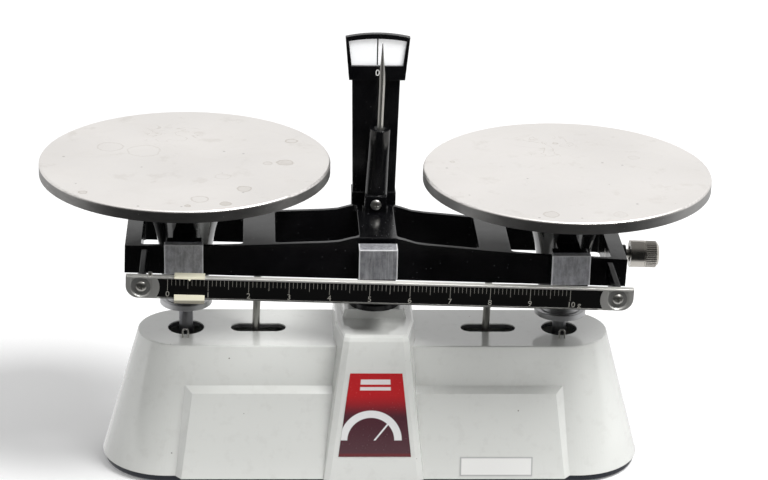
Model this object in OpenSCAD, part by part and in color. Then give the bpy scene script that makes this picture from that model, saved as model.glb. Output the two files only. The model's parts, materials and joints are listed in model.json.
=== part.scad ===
// Double-pan trip balance: painted die-cast base, black die-cast beam on three
// pairs of knife edges, two steel plates, sliding poise scale and pointer.
// Millimetres. X runs to the right along the beam, Y away from the user, Z up.
// The beam is drawn as it rests in the photograph, a little down on the right.

/* [Plates] */
// Diameter of each weighing plate
plate_dia = 152.4; // [140:0.2:156]
// Sheet thickness of the plate
plate_gauge = 1.5; // [1.2:0.1:2]
// Height of the plate's turned-down rim
rim_height = 6.2; // [4:0.1:9]
// Diameter of the trumpet that carries the plate
trumpet_dia = 76; // [64:1:90]

/* [Beam] */
// Distance from the centre knife to each end knife
arm_len = 100.7; // [96:0.1:108]
// Tilt at rest, right side down, in degrees
rest_tilt = 1.5; // [0:0.1:2.5]
// Height of the knife axis above the ledge of the base
knife_height = 47.2; // [46:0.1:52]
// Outer depth of the beam across both rails
beam_depth = 49.5; // [48:0.1:51]
// Thickness of each rail
rail_gauge = 2.5; // [2.2:0.1:3]
// Diameter of the beam stop rods
stop_rod_dia = 4; // [3:0.1:5]

/* [Scale] */
// Length along the scale for one gram
gram_pitch = 20.57; // [18:0.01:21]
// Height of the scale bar
scale_height = 11.9; // [11:0.1:13]
// Distance from the beam's middle plane to the front of the scale bar
scale_reach = 64; // [60:0.5:66]
// Reading of the poise as stored, in grams
poise_reading = 0.54; // [0:0.01:10]
// Length of the poise along the scale
poise_len = 15.5; // [12:0.5:18]

/* [Base] */
// Height of the ledge above the bench
ledge_height = 76; // [74:0.5:84]
// Length of the ledge
ledge_len = 253.2; // [248:0.2:258]
// Length of the housing at its lower edge
foot_len = 292.6; // [284:0.2:300]
// Depth of the housing at its lower edge
foot_depth = 72.6; // [68:0.2:78]
// Wall thickness of the casting
wall = 2.6; // [2.2:0.1:3]
// Diameter of the holes for the hanger posts
post_hole_dia = 19.4; // [18:0.1:21]

/* [Index] */
// Height of the index's top above the knife axis
index_height = 109.8; // [104:0.2:118]
// Width of the index frame at its top
index_width = 34.2; // [32:0.1:38]

/* [Zero adjuster] */
// Diameter of the zero knob
knob_dia = 14.5; // [13:0.1:16]
// Travel of the zero knob outwards from rest
knob_travel = 4; // [2:0.5:4]

/* [Hidden] */
$fn = 64;

// Colours
paint = [0.83, 0.84, 0.82];
black = [0.06, 0.06, 0.07];
steel = [0.72, 0.71, 0.68];
dark_steel = [0.35, 0.35, 0.34];
rubber = [0.12, 0.12, 0.12];
agate = [0.55, 0.32, 0.22];
cream = [0.9, 0.88, 0.76];
white = [0.95, 0.95, 0.93];
red = [0.6, 0.05, 0.06];

// Clearances
run_gap = 0.05;
body_gap = 0.3;
swing = 3.5;

// Main positions
pivot_z = ledge_height + knife_height;
stay_drop = 89.2;
stay_z = pivot_z - stay_drop;
rail_out = beam_depth / 2;
rail_in = rail_out - rail_gauge;
foot_height = 1;
skirt_z = 5;
ledge_r = 25;
edge_r = 0.8;

// Beam side profile, from the knife axis
beam_half = arm_len + 31.1;
beam_low = -8.8;
end_top = 6.35;
rail_x = arm_len - 14.7;
rail_top = 7.5;
crown_top = 11.2;
crown_x = 27;
shoulder_x = 20;
shoulder_top = 12;
plate_rise_x = 14;
plate_rise = 13.8;
plate_top = 14.8;
plate_half = 9.8;
plate_thick = 3.2;
end_bar = 8.3;
window_r = 2;
inner_bar_x = arm_len - 38.7;
inner_bar = 16.8;
inner_top = 8.9;
inner_thick = 4.6;
seat_r = 5.5;
seat_drop = 3.2;
rod_boss_r = 4.5;
rod_boss_len = 16.6;
knife_w = 5;
knife_drop = 6.6;
knife_tip = 0.2;
knife_in = rail_in - 3.2;
knife_out = 34.6;
arm_plate = 2.8;
arm_drop = 4.5;
arm_top = 5.6;
screw_boss_r = 3.5;
screw_boss_len = 8;
tap_r = 1.5;

// Hangers and support blocks, from the knife axis
block_in = rail_out + 0.9;
block_out = 37.2;
block_half = 9.25;
block_low = -7.5;
block_top = 12.2;
pocket_out = 35.2;
rib_half = 6;
rib_low = 9.4;
bearing_half = 4.5;
bearing_deep = 4.2;
cover_gauge = 0.8;
cover_low = -3.3;
cover_top = block_top + cover_gauge;
cover_half = block_half + cover_gauge;
cover_side = 1.1;
neck_r = 13.6;
neck_low = -27.6;
neck_foot_r = 8;
neck_taper = -17;
disc_top = -31.8;
disc_r = 13.85;
disc_h = 3;
hub_r = 6.6;
hub_top_r = 5.8;
spigot_r = 3;
post_r = 3.75;
flare_r = 62.6;
flare_z = -11.2;
plate_seat = 44.77;
plate_gap = 0.1;
stud_r = 8;
cup_depth = 9;
fork_gap = 3.4;
pin_r = 1.25;
stay_thick = 3;
stay_half = 4.5;

// Scale bar, from the knife axis
scale_mid = 0.35;
scale_half = arm_len + 29.1;
scale_top = 5.8;
scale_corner = 6.6;
scale_gauge = 3.2;
scale_x = arm_len + 21.2;
scale_axis = -0.05;
zero_x = -arm_len - 7.5;
strip_deep = 0.8;
strip_low = 0.8;
strip_high = 1.1;
strip_end_r = 9.3;
cup_r = 5.6;
cup_floor_r = 4.8;
screw_r = 2.75;
poise_wall = 0.9;
poise_gap = 0.25;
poise_lip = 0.7;
poise_top = 0.5;
poise_base = 2.4;
poise_slant = 1.5;
poise_foot_lip = 2.8;
poise_x = zero_x + poise_reading * gram_pitch;

// Stop rods
flange_r = 8;
flange_h = 4.5;
lock_r = 3.4;
lock_h = 1.6;
rod_top = 4.3;
stop_top = -knife_height - wall - (inner_bar_x + flange_r) * sin(swing) - body_gap - 0.15;

// Base details, from the bench
tower_top = ledge_height + 10.5;
tower_edge = 3;
tower_front = foot_depth / 2 + 5.8;
tower_front_top = 36.2;
tower_half = 26.7;
tower_half_top = 17.3;
tower_side = 28.7;
tower_side_top = 21.2;
tower_shoulder = 13;
tower_rear = 24;
tower_rear_top = 21;
corner_x = 3.2;
corner_y = 1;
panel_in = 20;
bevel = 4;
seat_disc = 3.05;
seat_low = -31.75;
pedestal_top = pivot_z + seat_low;
stem_r = 7;
slot_half = 14.8;
slot_r = 5.45;
panel_top = ledge_height - 20.7;
panel_face = ledge_height - 24.2;
panel_out = 4;

// Zero adjuster, from the knife axis
knob_in = beam_half + 4.8;
knob_len = 15.2;
knob_split = 7.8;
boss_end = beam_half + 2.4;
boss_r = 4.75;
stud_end = knob_in + knob_travel + 6.4;
knob_bore = 4.26;
zero_r = 2.4;

// Joins rings of points, given from the first end to the last, into one solid
module loft(rings) {
  n = len(rings[0]);
  last = len(rings) - 1;
  sides = [for (k = [0 : last - 1], i = [0 : n - 1])
    each [[k * n + i, (k + 1) * n + i, (k + 1) * n + (i + 1) % n],
      [k * n + i, (k + 1) * n + (i + 1) % n, k * n + (i + 1) % n]]];
  polyhedron([for (r = rings) each r],
    concat([[for (i = [0 : n - 1]) i]], [[for (i = [n - 1 : -1 : 0]) last * n + i]], sides));
}

// Outline with two half-round ends of n flats each, at height z
function oval(z, half, r, n) = [for (end = [1, -1], i = [0 : n])
  [end * (half - r) + r * cos(end * 90 - 180 + i * 180 / n),
    r * sin(end * 90 - 180 + i * 180 / n), z]];

// Puts level beam parts at the knife axis with the rest tilt
module on_beam() {
  translate([0, 0, pivot_z])
    rotate([0, rest_tilt, 0])
      children();
}

// Puts a hanger's parts at its own knife axis
module at_hanger(side) {
  translate([side * arm_len * cos(rest_tilt), 0, pivot_z - side * arm_len * sin(rest_tilt)])
    children();
}

// Extrudes a profile drawn in X and Z along Y, from y0 to y1
module along_y(y0, y1) {
  translate([0, y1, 0])
    rotate([90, 0, 0])
      linear_extrude(y1 - y0)
        children();
}

// Extrudes a profile drawn in Y and Z along X, centred on x
module along_x(x, len) {
  translate([x - len / 2, 0, 0])
    rotate([90, 0, 90])
      linear_extrude(len)
        children();
}

module body_form(inset, low, top, n) {
  depth = foot_depth / 2 - inset;
  top_r = ledge_r - inset;
  top_half = ledge_len / 2 - inset;
  loft([oval(low, foot_len / 2 - inset, depth, n), oval(top - edge_r, top_half, top_r, n),
    oval(top - edge_r * 0.3, top_half - edge_r * 0.3, top_r - edge_r * 0.3, n),
    oval(top, top_half - edge_r, top_r - edge_r, n)]);
}

// Tower outline at height z, its front corners cut off
function tower_ring(z, front, half, side, shoulder, rear) = [[-half + corner_x, front, z],
  [half - corner_x, front, z], [half, front + corner_y, z], [side, shoulder, z], [side, rear, z],
  [-side, rear, z], [-side, shoulder, z], [-half, front + corner_y, z]];

module tower_form(inset, low, top) {
  front = -tower_front_top + inset;
  half = tower_half_top - inset;
  side = tower_side_top - inset;
  shoulder = -tower_shoulder + inset;
  loft([tower_ring(low, -tower_front + inset, tower_half - inset, tower_side - inset,
      -foot_depth / 2 + inset, tower_rear - inset),
    tower_ring(top - tower_edge, front, half, side, shoulder, tower_rear_top - inset),
    tower_ring(top - tower_edge * 0.3, front + 0.9, half - 0.4, side - 0.4, shoulder,
      tower_rear_top - inset - 0.6),
    tower_ring(top, front + 2.8, half - 1, side - 1.4, shoulder + 1, tower_rear_top - inset - 2)]);
}

function wall_y(z) = -foot_depth / 2 + (z - skirt_z) * (foot_depth / 2 - ledge_r)
  / (ledge_height - edge_r - skirt_z);

// Raised front panel on the right, bevelled along its top and outer side
module panel() {
  low = skirt_z;
  back = 1;
  end_low = foot_len / 2 - 39.5;
  end_top = ledge_len / 2 - 24.8;
  face_y = wall_y(panel_face) - panel_out;
  loft([[[panel_in, wall_y(low) + back, low], [end_low, wall_y(low) + back, low],
      [end_top, wall_y(panel_top) + back, panel_top],
      [panel_in, wall_y(panel_top) + back, panel_top]],
    [[panel_in, -foot_depth / 2 - panel_out, low],
      [end_low - bevel, -foot_depth / 2 - panel_out, low],
      [end_top - bevel - 1, face_y, panel_face], [panel_in, face_y, panel_face]]]);
}

module housing() {
  color(paint)
    difference() {
      union() {
        body_form(0, skirt_z, ledge_height, 64);
        tower_form(0, skirt_z, tower_top);
        panel();
        mirror([1, 0, 0])
          panel();
        pedestal();
      }
      body_form(wall, skirt_z - 1, ledge_height - wall, 24);
      tower_form(wall, skirt_z - 1, tower_top - wall);
      for (side = [-1, 1]) {
        translate([side * arm_len, 0, ledge_height - 6])
          cylinder(d = post_hole_dia, h = 12);
        stop_slot(side);
        for (sx = [-1, 1])
          translate([side * arm_len + sx * loop_r, loop_y, ledge_height - 5])
            cylinder(r = loop_wire, h = 10);
      }
      translate([0, 0, tower_top - 6])
        cylinder(r = stem_r + run_gap, h = 20);
    }
}

loop_r = 1.4;
loop_wire = 0.45;
loop_y = -13.9;

function pedestal_ring(z, half, front, rear) = [[-half, front + 1.2, z], [-half + 1.2, front, z],
  [half - 1.2, front, z], [half, front + 1.2, z], [half + 1.4, rear, z], [-half - 1.4, rear, z]];

module pedestal() {
  loft([pedestal_ring(tower_top - 0.5, 17.2, -12.4, 14),
    pedestal_ring(pedestal_top, 16, -11, 12.6)]);
}

module stop_slot(side) {
  translate([side * inner_bar_x, 0, ledge_height - 6]) {
    for (end = [-1, 1])
      translate([end * (slot_half - slot_r), 0, 0])
        cylinder(r = slot_r, h = 12);
    translate([-slot_half + slot_r, -slot_r, 0])
      cube([2 * (slot_half - slot_r), 2 * slot_r, 12]);
  }
}

// Base underside
plate_inset = 1.3;

module bottom_plate() {
  half = foot_len / 2 - plate_inset;
  depth = foot_depth / 2 - plate_inset;
  color(black)
    difference() {
      loft([oval(foot_height, half - 0.6, depth - 0.6, 32), oval(foot_height + 0.8, half, depth, 32),
        oval(skirt_z, half, depth, 32)]);
      for (sx = [-1, 1], sy = [-1, 1])
        translate([sx * foot_x, sy * foot_y, 0])
          cylinder(r = foot_stud_r, h = 20);
    }
}

foot_x = foot_len / 2 - 34.3;
foot_y = foot_depth / 2 - 16.3;
foot_pad_r = 8;
foot_stud_r = 3;

module foot(sx, sy) {
  color(rubber)
    translate([sx * foot_x, sy * foot_y, 0]) {
      cylinder(r1 = foot_pad_r - 0.6, r2 = foot_pad_r, h = foot_height);
      cylinder(r = foot_stud_r, h = skirt_z + 0.6);
      translate([0, 0, skirt_z])
        cylinder(r1 = foot_stud_r + 1, r2 = foot_stud_r - 0.5, h = 2.4);
    }
}

// Wire loop at the front of a post hole
module wire_loop(side) {
  color(steel)
    translate([side * arm_len, loop_y, ledge_height]) {
      for (sx = [-1, 1])
        translate([sx * loop_r, 0, -0.8])
          cylinder(r = loop_wire, h = 4.3);
      translate([0, 0, 3.5])
        rotate([90, 0, 0])
          intersection() {
            rotate_extrude()
              translate([loop_r, 0])
                circle(loop_wire);
            translate([-2, 0, -1])
              cube([4, 2, 2]);
          }
    }
}

// Thin trapezoid label on the tower's sloping front
tower_lean = atan((tower_front - tower_front_top) / (tower_top - tower_edge - skirt_z));
label_gauge = 0.25;
label_half = 13.8;
label_foot = 19.4;
label_high = -17.6;
label_low = -64.9;

module name_label() {
  color(red)
    translate([0.3, -tower_front_top, tower_top - tower_edge])
      rotate([-tower_lean, 0, 0])
        along_y(-label_gauge, 0)
          polygon([[-label_foot, label_low], [label_foot, label_low], [label_half, label_high],
            [-label_half, label_high]]);
}

serial_x = 46.2;
serial_len = 39;
serial_tall = 10.6;
panel_lean = atan((wall_y(panel_face) + foot_depth / 2) / (panel_face - skirt_z));

module serial_label() {
  color(white)
    translate([serial_x, -foot_depth / 2 - panel_out, skirt_z])
      rotate([-panel_lean, 0, 0])
        translate([0, -label_gauge, 1.8])
          cube([serial_len, label_gauge, serial_tall]);
}

// Block beside a rail that holds a bearing, on the front or the rear side
module block(side_y, low, open_up) {
  y0 = side_y > 0 ? block_in : -block_out;
  p0 = side_y > 0 ? block_in - 1 : -pocket_out;
  p1 = side_y > 0 ? pocket_out : -block_in + 1;
  difference() {
    translate([-block_half, y0, low])
      cube([2 * block_half, block_out - block_in, block_top - low]);
    if (open_up)
      translate([-bearing_half, p0, -bearing_deep])
        cube([2 * bearing_half, p1 - p0, 40]);
    else
      translate([-bearing_half, p0, low - 1])
        cube([2 * bearing_half, p1 - p0, bearing_deep - low + 1]);
  }
}

vee_offset = (knife_tip + run_gap) / sin(60);

// Agate bearing with its vee root over the knife edge
module bearing(side_y) {
  y0 = side_y > 0 ? block_in + 0.5 : -pocket_out;
  along_y(y0, y0 + pocket_out - block_in - 0.5)
    polygon([[-bearing_half, bearing_deep], [bearing_half, bearing_deep],
      [bearing_half, vee_offset - bearing_half * tan(30)], [0, vee_offset],
      [-bearing_half, vee_offset - bearing_half * tan(30)]]);
}

// Knife bar section with its rounded edge on the axis, pointing up
module knife_section() {
  shoulder = knife_tip * sin(30) - (knife_w / 2 - knife_tip * cos(30)) * tan(60);
  polygon(concat([for (a = [30 : 20 : 150]) [knife_tip * cos(a), knife_tip * sin(a)]],
    [[-knife_w / 2, shoulder], [-knife_w / 2, -knife_drop], [knife_w / 2, -knife_drop],
      [knife_w / 2, shoulder]]));
}

module knife_bar(y0, y1) {
  color(steel)
    along_y(y0, y1)
      knife_section();
}

module knife_stub(side, side_y) {
  on_beam()
    translate([side * arm_len, 0, 0])
      if (side_y > 0)
        knife_bar(knife_in, knife_out);
      else
        knife_bar(-knife_out, -knife_in);
}

module knife_centre() {
  on_beam()
    rotate([0, 180, 0])
      knife_bar(-knife_out, knife_out);
}

// Black casting that carries the centre bearings and the stay's pivot
yoke_half = 8;
yoke_low = -25.2;
yoke_bend = -20.4;
yoke_end = -16;
yoke_top = -16.6;
yoke_seat = -10.6;
seat_neck_r = 9;

// Yoke that rises from the stem to the blocks under the rails, seen along X
module yoke_outline() {
  out = block_out - 2;
  polygon([[-out, yoke_end], [-rail_out, yoke_bend], [-seat_neck_r, yoke_low],
    [seat_neck_r, yoke_low], [rail_out, yoke_bend], [out, yoke_end], [out, yoke_seat],
    [rail_in - 2, yoke_seat], [rail_in - 8, yoke_top], [-rail_in + 8, yoke_top],
    [-rail_in + 2, yoke_seat], [-out, yoke_seat]]);
}

module support() {
  stem_low = -stay_drop - stay_half - 2;
  color(black)
    translate([0, 0, pivot_z])
      difference() {
        union() {
          translate([0, 0, seat_low])
            cylinder(r = disc_r + 0.3, h = seat_disc);
          translate([0, 0, seat_low + 1])
            cylinder(r = seat_neck_r, h = yoke_top - seat_low - 2);
          translate([0, 0, stem_low])
            cylinder(r = stem_r, h = seat_low - stem_low + 1);
          along_x(0, 2 * yoke_half)
            yoke_outline();
          for (side_y = [-1, 1])
            block(side_y, yoke_end, true);
        }
        translate([-2 * stem_r, -fork_gap / 2, stem_low - 1])
          cube([4 * stem_r, fork_gap, 2 * stay_half + 5]);
        translate([0, -2 * stem_r, -stay_drop])
          rotate([-90, 0, 0])
            cylinder(r = pin_r, h = 4 * stem_r);
      }
}

nut_r = 12.5;
nut_h = 5;

module support_nut() {
  color(steel)
    translate([0, 0, tower_top - wall - nut_h - 0.02])
      difference() {
        cylinder(r = nut_r, h = nut_h, $fn = 6);
        translate([0, 0, -1])
          cylinder(r = stem_r, h = nut_h + 3);
      }
}

module centre_pin() {
  color(steel)
    translate([0, 0, stay_z])
      rotate([90, 0, 0])
        cylinder(r = pin_r, h = 2 * stem_r, center = true);
}

module bearing_centre(side_y) {
  color(agate)
    translate([0, 0, pivot_z])
      rotate([0, 180, 0])
        bearing(side_y);
}

// Sheet cover with short sides over a block's face; lip is how far its top runs back
module cover(side_y, lip) {
  color(steel)
    mirror([0, side_y > 0 ? 1 : 0, 0])
      difference() {
        translate([-cover_half, -block_out - cover_gauge, cover_low])
          cube([2 * cover_half, lip, cover_top - cover_low]);
        translate([-block_half, -block_out, cover_low - 1])
          cube([2 * block_half, lip, block_top - cover_low + 1]);
        translate([-cover_half - 1, -block_out + cover_side, cover_low - 1])
          cube([2 * cover_half + 2, lip, block_top - cover_low + 1]);
      }
}

// Index column: cap over the rear centre bearing, shaft, and tongue behind the index
cap_in = block_in + 1.6;
cap_half = 11.9;
cap_top = 20.4;
shaft_front = 27.9;
shaft_back = 35.6;
shaft_low_half = 11.4;
shaft_half = 12.7;
shaft_wall = 2.2;
frame_low = index_height - 25.5;
window_low = index_height - 17.8;
index_x = 0.4;
frame_front = 26.4;
frame_back = 29.6;
frame_side = 1.7;
tongue = 12;

module index_column() {
  color(black)
    translate([0, 0, pivot_z]) {
      difference() {
        translate([-cap_half, cap_in, cover_low])
          cube([2 * cap_half, block_out + 2.4 - cap_in, cap_top - cover_low]);
        translate([-block_half, cap_in - 1, cover_low - 1])
          cube([2 * block_half, block_out - cap_in + 1, block_top - cover_low + 1]);
      }
      difference() {
        along_y(shaft_front, shaft_back)
          polygon([[-shaft_low_half, cap_top - 0.4], [shaft_low_half, cap_top - 0.4],
            [shaft_half, frame_low], [-shaft_half, frame_low]]);
        along_y(shaft_front + shaft_wall, shaft_back + 1)
          polygon([[-shaft_low_half + shaft_wall, cap_top + shaft_wall],
            [shaft_low_half - shaft_wall, cap_top + shaft_wall],
            [shaft_half - shaft_wall, frame_low - shaft_wall],
            [-shaft_half + shaft_wall, frame_low - shaft_wall]]);
      }
      translate([-shaft_half, frame_back, frame_low - 0.5])
        cube([2 * shaft_half, shaft_back - frame_back - 2, tongue + 0.5]);
    }
}

// Trapezoid with an arched top, drawn in X and Z from the knife axis
module index_form(top_half, low_half, low, shoulder, peak) {
  rise = peak - shoulder;
  arch_r = (top_half * top_half + rise * rise) / (2 * rise);
  intersection() {
    polygon([[-low_half, low], [low_half, low],
      [low_half + (top_half - low_half) * (peak - low) / (shoulder - low), peak],
      [-low_half - (top_half - low_half) * (peak - low) / (shoulder - low), peak]]);
    translate([0, peak - arch_r])
      circle(arch_r, $fn = 200);
  }
}

// Outline of the index window, smaller all round by gap
module window_form(gap) {
  half = index_width / 2 - frame_side - gap;
  index_form(half, half - frame_side, window_low + gap, index_height - 4 - gap,
    index_height - 2.6 - gap);
}

module index_frame() {
  half = index_width / 2;
  color(black)
    translate([index_x, 0, pivot_z])
      difference() {
        along_y(frame_front, frame_back)
          index_form(half, half - 2.2, frame_low, index_height - 1.9, index_height);
        along_y(frame_front - 1, frame_front + 2.2)
          window_form(0);
      }
}

module index_plate() {
  color(white)
    translate([index_x, 0, pivot_z])
      along_y(frame_front + 1.4, frame_front + 2.2)
        window_form(0.05);
}

// Side outline of the ladder-shaped beam
module beam_profile() {
  polygon([[-beam_half, beam_low], [beam_half, beam_low], [beam_half, end_top],
    [rail_x, rail_top], [inner_bar_x, inner_top], [crown_x, crown_top], [shoulder_x, shoulder_top], [plate_rise_x, plate_rise],
    [plate_half, plate_top], [-plate_half, plate_top], [-plate_rise_x, plate_rise],
    [-shoulder_x, shoulder_top], [-crown_x, crown_top], [-inner_bar_x, inner_top],
    [-rail_x, rail_top], [-beam_half, end_top]]);
}

module beam() {
  color(black)
    on_beam()
      difference() {
        union() {
          difference() {
            along_y(-rail_out, rail_out)
              beam_profile();
            for (side = [-1, 1])
              beam_openings(side);
          }
          for (side = [-1, 1]) {
            translate([side * inner_bar_x, 0, beam_low])
              cylinder(r = rod_boss_r, h = rod_boss_len);
            beam_arm(side);
            for (side_y = [-1, 1])
              knife_seat(side * arm_len, side_y);
          }
          for (side_y = [-1, 1])
            knife_seat(0, side_y);
          translate([beam_half - 0.5, 0, 0])
            rotate([0, 90, 0])
              cylinder(r = boss_r, h = boss_end - beam_half + 0.5);
        }
        for (side = [-1, 1]) {
          translate([side * arm_len, 0, 0])
            along_y(-knife_out, knife_out)
              knife_section();
          translate([side * inner_bar_x, 0, beam_low - 1])
            cylinder(d = stop_rod_dia, h = rod_top - beam_low + 1.5);
          translate([scale_mid + side * scale_x, -scale_reach - 1, scale_axis])
            rotate([-90, 0, 0])
              cylinder(r = tap_r, h = scale_gauge + screw_boss_len + 3);
        }
        rotate([0, 180, 0])
          along_y(-knife_out, knife_out)
            knife_section();
        translate([0, post_y, plate_top - peg_len])
          cylinder(r = peg_r, h = 10);
        translate([beam_half - end_bar - 0.01, 0, 0])
          rotate([0, 90, 0])
            cylinder(r = zero_r, h = 20);
        for (side_y = [-1, 1])
          translate([-beam_half - 1, side_y * slug_y, slug_z])
            rotate([0, 90, 0])
              cylinder(r = slug_r, h = slug_len + 1);
      }
}

post_y = 18.6;
slug_r = 5.2;
slug_len = 6.68;
slug_y = 10;
slug_z = -1.4;
peg_r = 2;
peg_len = 6;

// Window between the rails from x0 to x1, its corners rounded
module window(x0, x1) {
  low = beam_low - 1;
  tall = plate_top - beam_low + 2;
  translate([x0 + window_r, -rail_in, low])
    cube([x1 - x0 - 2 * window_r, 2 * rail_in, tall]);
  translate([x0, -rail_in + window_r, low])
    cube([x1 - x0, 2 * (rail_in - window_r), tall]);
  for (x = [x0 + window_r, x1 - window_r], side_y = [-1, 1])
    translate([x, side_y * (rail_in - window_r), low])
      cylinder(r = window_r, h = tall);
}

module beam_openings(side) {
  outer0 = inner_bar_x + inner_bar / 2;
  outer1 = beam_half - end_bar;
  inner1 = inner_bar_x - inner_bar / 2;
  low = beam_low - 1;
  mirror([side > 0 ? 0 : 1, 0, 0]) {
    window(outer0, outer1);
    window(plate_half, inner1);
    translate([inner1 - window_r - 1, -rail_in, low])
      cube([outer0 - inner1 + 2 * window_r + 2, 2 * rail_in, end_top - inner_thick + 2 - low]);
  }
  translate([-plate_half - window_r - 1, -rail_in, low])
    cube([2 * (plate_half + window_r + 1), 2 * rail_in, plate_top - plate_thick - low]);
}

module knife_seat(x, side_y) {
  translate([x, side_y > 0 ? knife_in : -rail_in, x == 0 ? seat_drop : -seat_drop])
    rotate([-90, 0, 0])
      cylinder(r = seat_r, h = rail_in - knife_in);
}

// Arm from the front rail to the scale bar, with its screw boss
module beam_arm(side) {
  x = scale_mid + side * scale_x;
  translate([x - arm_plate / 2, -scale_reach + scale_gauge, -arm_drop])
    cube([arm_plate, scale_reach - scale_gauge - rail_out + 0.5, arm_top + arm_drop]);
  translate([x, -scale_reach + scale_gauge, scale_axis])
    rotate([-90, 0, 0])
      cylinder(r = screw_boss_r, h = screw_boss_len);
}

post_len = 45.2;
post_lean = 0.8;
post_low_r = 6.1;
post_top_r = 5.4;
post_plug = 36;
bore_r = 3.4;
needle_r = 1.6;
block_w = 11.2;
block_d = 7;
block_h = 9;
screw_z = 4.4;

// Pointer post, hollow below its plug so that the beam stays bottom-heavy
module pointer_post() {
  color(black)
    on_beam()
      translate([0, post_y, plate_top])
        difference() {
          union() {
            cylinder(r = block_d, h = 1.6);
            translate([0, 0, 0.8])
              rotate([0, post_lean, 0])
                cylinder(r1 = post_low_r, r2 = post_top_r, h = post_len - 0.8);
            translate([-block_w / 2, -block_d, 0])
              cube([block_w, block_d, block_h]);
            translate([0, 0, -peg_len])
              cylinder(r = peg_r, h = peg_len + 1);
          }
          translate([0, 0, 0.8])
            rotate([0, post_lean, 0]) {
              translate([0, 0, block_h + 1])
                cylinder(r = bore_r, h = post_plug - block_h - 1);
              translate([0, 0, post_plug - 1])
                cylinder(r = needle_r, h = post_len - post_plug + 2);
              translate([0, 0, post_len - 2.8])
                cylinder(r1 = 2.2, r2 = 3.8, h = 2.1);
            }
          translate([0, -block_d - 1, screw_z])
            rotate([-90, 0, 0])
              cylinder(r = 1.3, h = block_d + 2);
        }
}

// Needle in three runs: straight, set over a little by hand, and the long tip
module pointer_needle() {
  bend = -1;
  back = 1.8;
  run = 24;
  root = post_len - post_plug;
  color(steel)
    on_beam()
      translate([0, post_y, plate_top + 0.8])
        rotate([0, post_lean, 0])
          translate([0, 0, post_plug]) {
            cylinder(r = needle_r, h = root);
            translate([0, 0, root - 0.1])
              rotate([0, bend, 0]) {
                cylinder(r = needle_r - 0.05, h = run - 0.3);
                translate([0, 0, run]) {
                  sphere(r = needle_r + 0.02);
                  rotate([0, -back, 0])
                    translate([0, 0, 0.3]) {
                      cylinder(r = needle_r - 0.05, h = 4.7);
                      translate([0, 0, 4.7])
                        cylinder(r1 = needle_r - 0.05, r2 = 0.18, h = 17.6);
                    }
                }
              }
          }
}

module pan_screw(r, shank_r, shank_len, head) {
  difference() {
    union() {
      intersection() {
        cylinder(r = r, h = head);
        translate([0, 0, head - r * 1.5])
          sphere(r = r * 1.5);
      }
      translate([0, 0, -shank_len])
        cylinder(r = shank_r, h = shank_len + 0.1);
    }
    for (turn = [0, 90])
      rotate([0, 0, turn])
        translate([-r * 0.55, -0.35, head - 0.7])
          cube([r * 1.1, 0.7, 2]);
  }
}

module pointer_screw() {
  color(steel)
    on_beam()
      translate([0, post_y - block_d, plate_top + screw_z])
        rotate([90, 0, 0])
          pan_screw(2.9, 1.3, 5, 1.7);
}

// Outline of the scale bar in X and Z, lower corners rounded
module scale_outline() {
  low = scale_top - scale_height;
  difference() {
    translate([scale_mid - scale_half, low])
      square([2 * scale_half, scale_height]);
    for (side = [-1, 1])
      translate([scale_mid + side * (scale_half - scale_corner), low + scale_corner])
        difference() {
          translate([side > 0 ? 0 : -scale_corner - 1, -scale_corner - 1])
            square([scale_corner + 1, scale_corner + 1]);
          circle(scale_corner);
        }
  }
}

// Outline of the graduated strip, hollowed at its ends round the screws
module strip_outline() {
  difference() {
    translate([scale_mid - scale_x, scale_top - scale_height + strip_low])
      square([2 * scale_x, scale_height - strip_low - strip_high]);
    for (side = [-1, 1])
      translate([scale_mid + side * scale_x, scale_axis])
        circle(strip_end_r);
  }
}

// Round-bottomed, flat-topped recess for a screw, its wall sloping
module screw_cup() {
  tall = scale_top - strip_high - scale_axis;
  translate([0, -scale_reach, 0]) {
    linear_extrude(tall)
      polygon([[-cup_r, -0.01], [cup_r, -0.01], [cup_floor_r, strip_deep],
        [-cup_floor_r, strip_deep]]);
    intersection() {
      translate([0, -0.01, 0])
        rotate([-90, 0, 0])
          cylinder(r1 = cup_r, r2 = cup_floor_r, h = strip_deep + 0.01);
      translate([-cup_r - 1, -1, -cup_r - 1])
        cube([2 * cup_r + 2, strip_deep + 2, cup_r + 1 + tall]);
    }
  }
}

module scale_bar() {
  front = -scale_reach;
  color(steel)
    on_beam()
      difference() {
        along_y(front, front + scale_gauge)
          scale_outline();
        along_y(front - 1, front + strip_deep)
          strip_outline();
        for (side = [-1, 1])
          translate([scale_mid + side * scale_x, 0, scale_axis]) {
            screw_cup();
            along_y(front - 1, front + scale_gauge + 1)
              circle(tap_r + 0.1);
          }
        stop_pin(1);
      }
}

module scale_strip() {
  color(black)
    on_beam()
      along_y(-scale_reach + 0.2, -scale_reach + strip_deep)
        strip_outline();
}

module scale_screw(side) {
  color(steel)
    on_beam()
      translate([scale_mid + side * scale_x, -scale_reach + strip_deep, scale_axis])
        rotate([90, 0, 0])
          pan_screw(screw_r, tap_r, 9.5, 1.5);
}

module stop_pin(over) {
  translate([zero_x - poise_len / 2 - 1.15, -scale_reach + 1.6, scale_top - 1.2])
    cylinder(r = 1.1, h = 2.9 + over);
}

module poise_stop() {
  color(steel)
    on_beam()
      stop_pin(0);
}

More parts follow.
